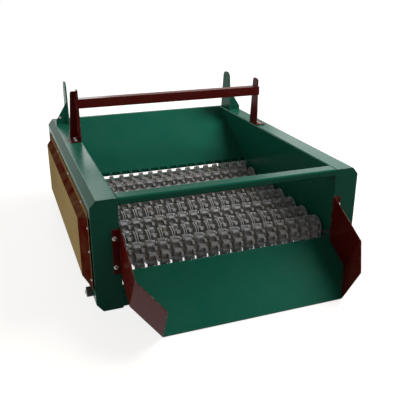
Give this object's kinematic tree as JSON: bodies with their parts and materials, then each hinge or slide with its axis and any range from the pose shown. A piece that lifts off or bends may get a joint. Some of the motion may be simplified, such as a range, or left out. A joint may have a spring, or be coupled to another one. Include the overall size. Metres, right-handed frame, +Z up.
{
  "type": "stone separator",
  "caption": "Stone separator with star rollers turning between two side boxes, an inclined infeed plate, a flared discharge chute, lifting lugs and a guard bar.",
  "frame": {"origin": "on the floor, under the middle of the overall box", "axes": "+Z up; -Y towards the discharge chute; +X to the right of someone who looks at the bed over the chute"},
  "size_m": [1.574, 2.167, 0.94],
  "materials": {
    "green_paint": "satin green paint",
    "red_paint": "satin dark red paint",
    "roller_steel": "dull grey steel",
    "bearing_iron": "dark cast iron"
  },
  "bodies": {
    "frame": {"side_box_left": "green_paint", "front_post_left": "green_paint", "end_plate_left": "green_paint", "outer_plate_left": "green_paint", "lifting_lug_left": "green_paint", "guard_bracket_left": "red_paint", "chute_cheek_left": "red_paint", "side_box_right": "green_paint", "front_post_right": "green_paint", "end_plate_right": "green_paint", "outer_plate_right": "green_paint", "lifting_lug_right": "green_paint", "guard_bracket_right": "red_paint", "chute_cheek_right": "red_paint", "front_crossbar": "green_paint", "front_sill": "green_paint", "rear_sill": "green_paint", "infeed_plate": "green_paint", "chute_floor": "green_paint", "chain_cover": "red_paint", "guard_bar": "red_paint", "chain_tensioner": "bearing_iron", "bearing_1": "bearing_iron", "bearing_2": "bearing_iron", "bearing_3": "bearing_iron", "bearing_4": "bearing_iron", "bearing_5": "bearing_iron", "bearing_6": "bearing_iron", "bearing_7": "bearing_iron", "bearing_8": "bearing_iron"},
    "roller_1": {"roller_1": "roller_steel"},
    "roller_2": {"roller_2": "roller_steel"},
    "roller_3": {"roller_3": "roller_steel"},
    "roller_4": {"roller_4": "roller_steel"},
    "roller_5": {"roller_5": "roller_steel"},
    "roller_6": {"roller_6": "roller_steel"},
    "roller_7": {"roller_7": "roller_steel"},
    "roller_8": {"roller_8": "roller_steel"}
  },
  "joints": [
    {"name": "roller_1_spin", "type": "hinge", "parent": "frame", "child": "roller_1", "pos_m": [0, -0.5075, 0.218], "axis": [1, 0, 0], "continuous": true},
    {"name": "roller_2_spin", "type": "hinge", "parent": "frame", "child": "roller_2", "pos_m": [0, -0.3597, 0.2208], "axis": [1, 0, 0], "continuous": true},
    {"name": "roller_3_spin", "type": "hinge", "parent": "frame", "child": "roller_3", "pos_m": [0, -0.2119, 0.2236], "axis": [1, 0, 0], "continuous": true},
    {"name": "roller_4_spin", "type": "hinge", "parent": "frame", "child": "roller_4", "pos_m": [0, -0.0641, 0.2264], "axis": [1, 0, 0], "continuous": true},
    {"name": "roller_5_spin", "type": "hinge", "parent": "frame", "child": "roller_5", "pos_m": [0, 0.0837, 0.2292], "axis": [1, 0, 0], "continuous": true},
    {"name": "roller_6_spin", "type": "hinge", "parent": "frame", "child": "roller_6", "pos_m": [0, 0.2315, 0.232], "axis": [1, 0, 0], "continuous": true},
    {"name": "roller_7_spin", "type": "hinge", "parent": "frame", "child": "roller_7", "pos_m": [0, 0.3793, 0.2348], "axis": [1, 0, 0], "continuous": true},
    {"name": "roller_8_spin", "type": "hinge", "parent": "frame", "child": "roller_8", "pos_m": [0, 0.5271, 0.2376], "axis": [1, 0, 0], "continuous": true}
  ],
  "couplings": [
    {"joint": "roller_2_spin", "follows": "roller_1_spin", "ratio": 1},
    {"joint": "roller_3_spin", "follows": "roller_1_spin", "ratio": 1},
    {"joint": "roller_4_spin", "follows": "roller_1_spin", "ratio": 1},
    {"joint": "roller_5_spin", "follows": "roller_1_spin", "ratio": 1},
    {"joint": "roller_6_spin", "follows": "roller_1_spin", "ratio": 1},
    {"joint": "roller_7_spin", "follows": "roller_1_spin", "ratio": 1},
    {"joint": "roller_8_spin", "follows": "roller_1_spin", "ratio": 1}
  ]
}
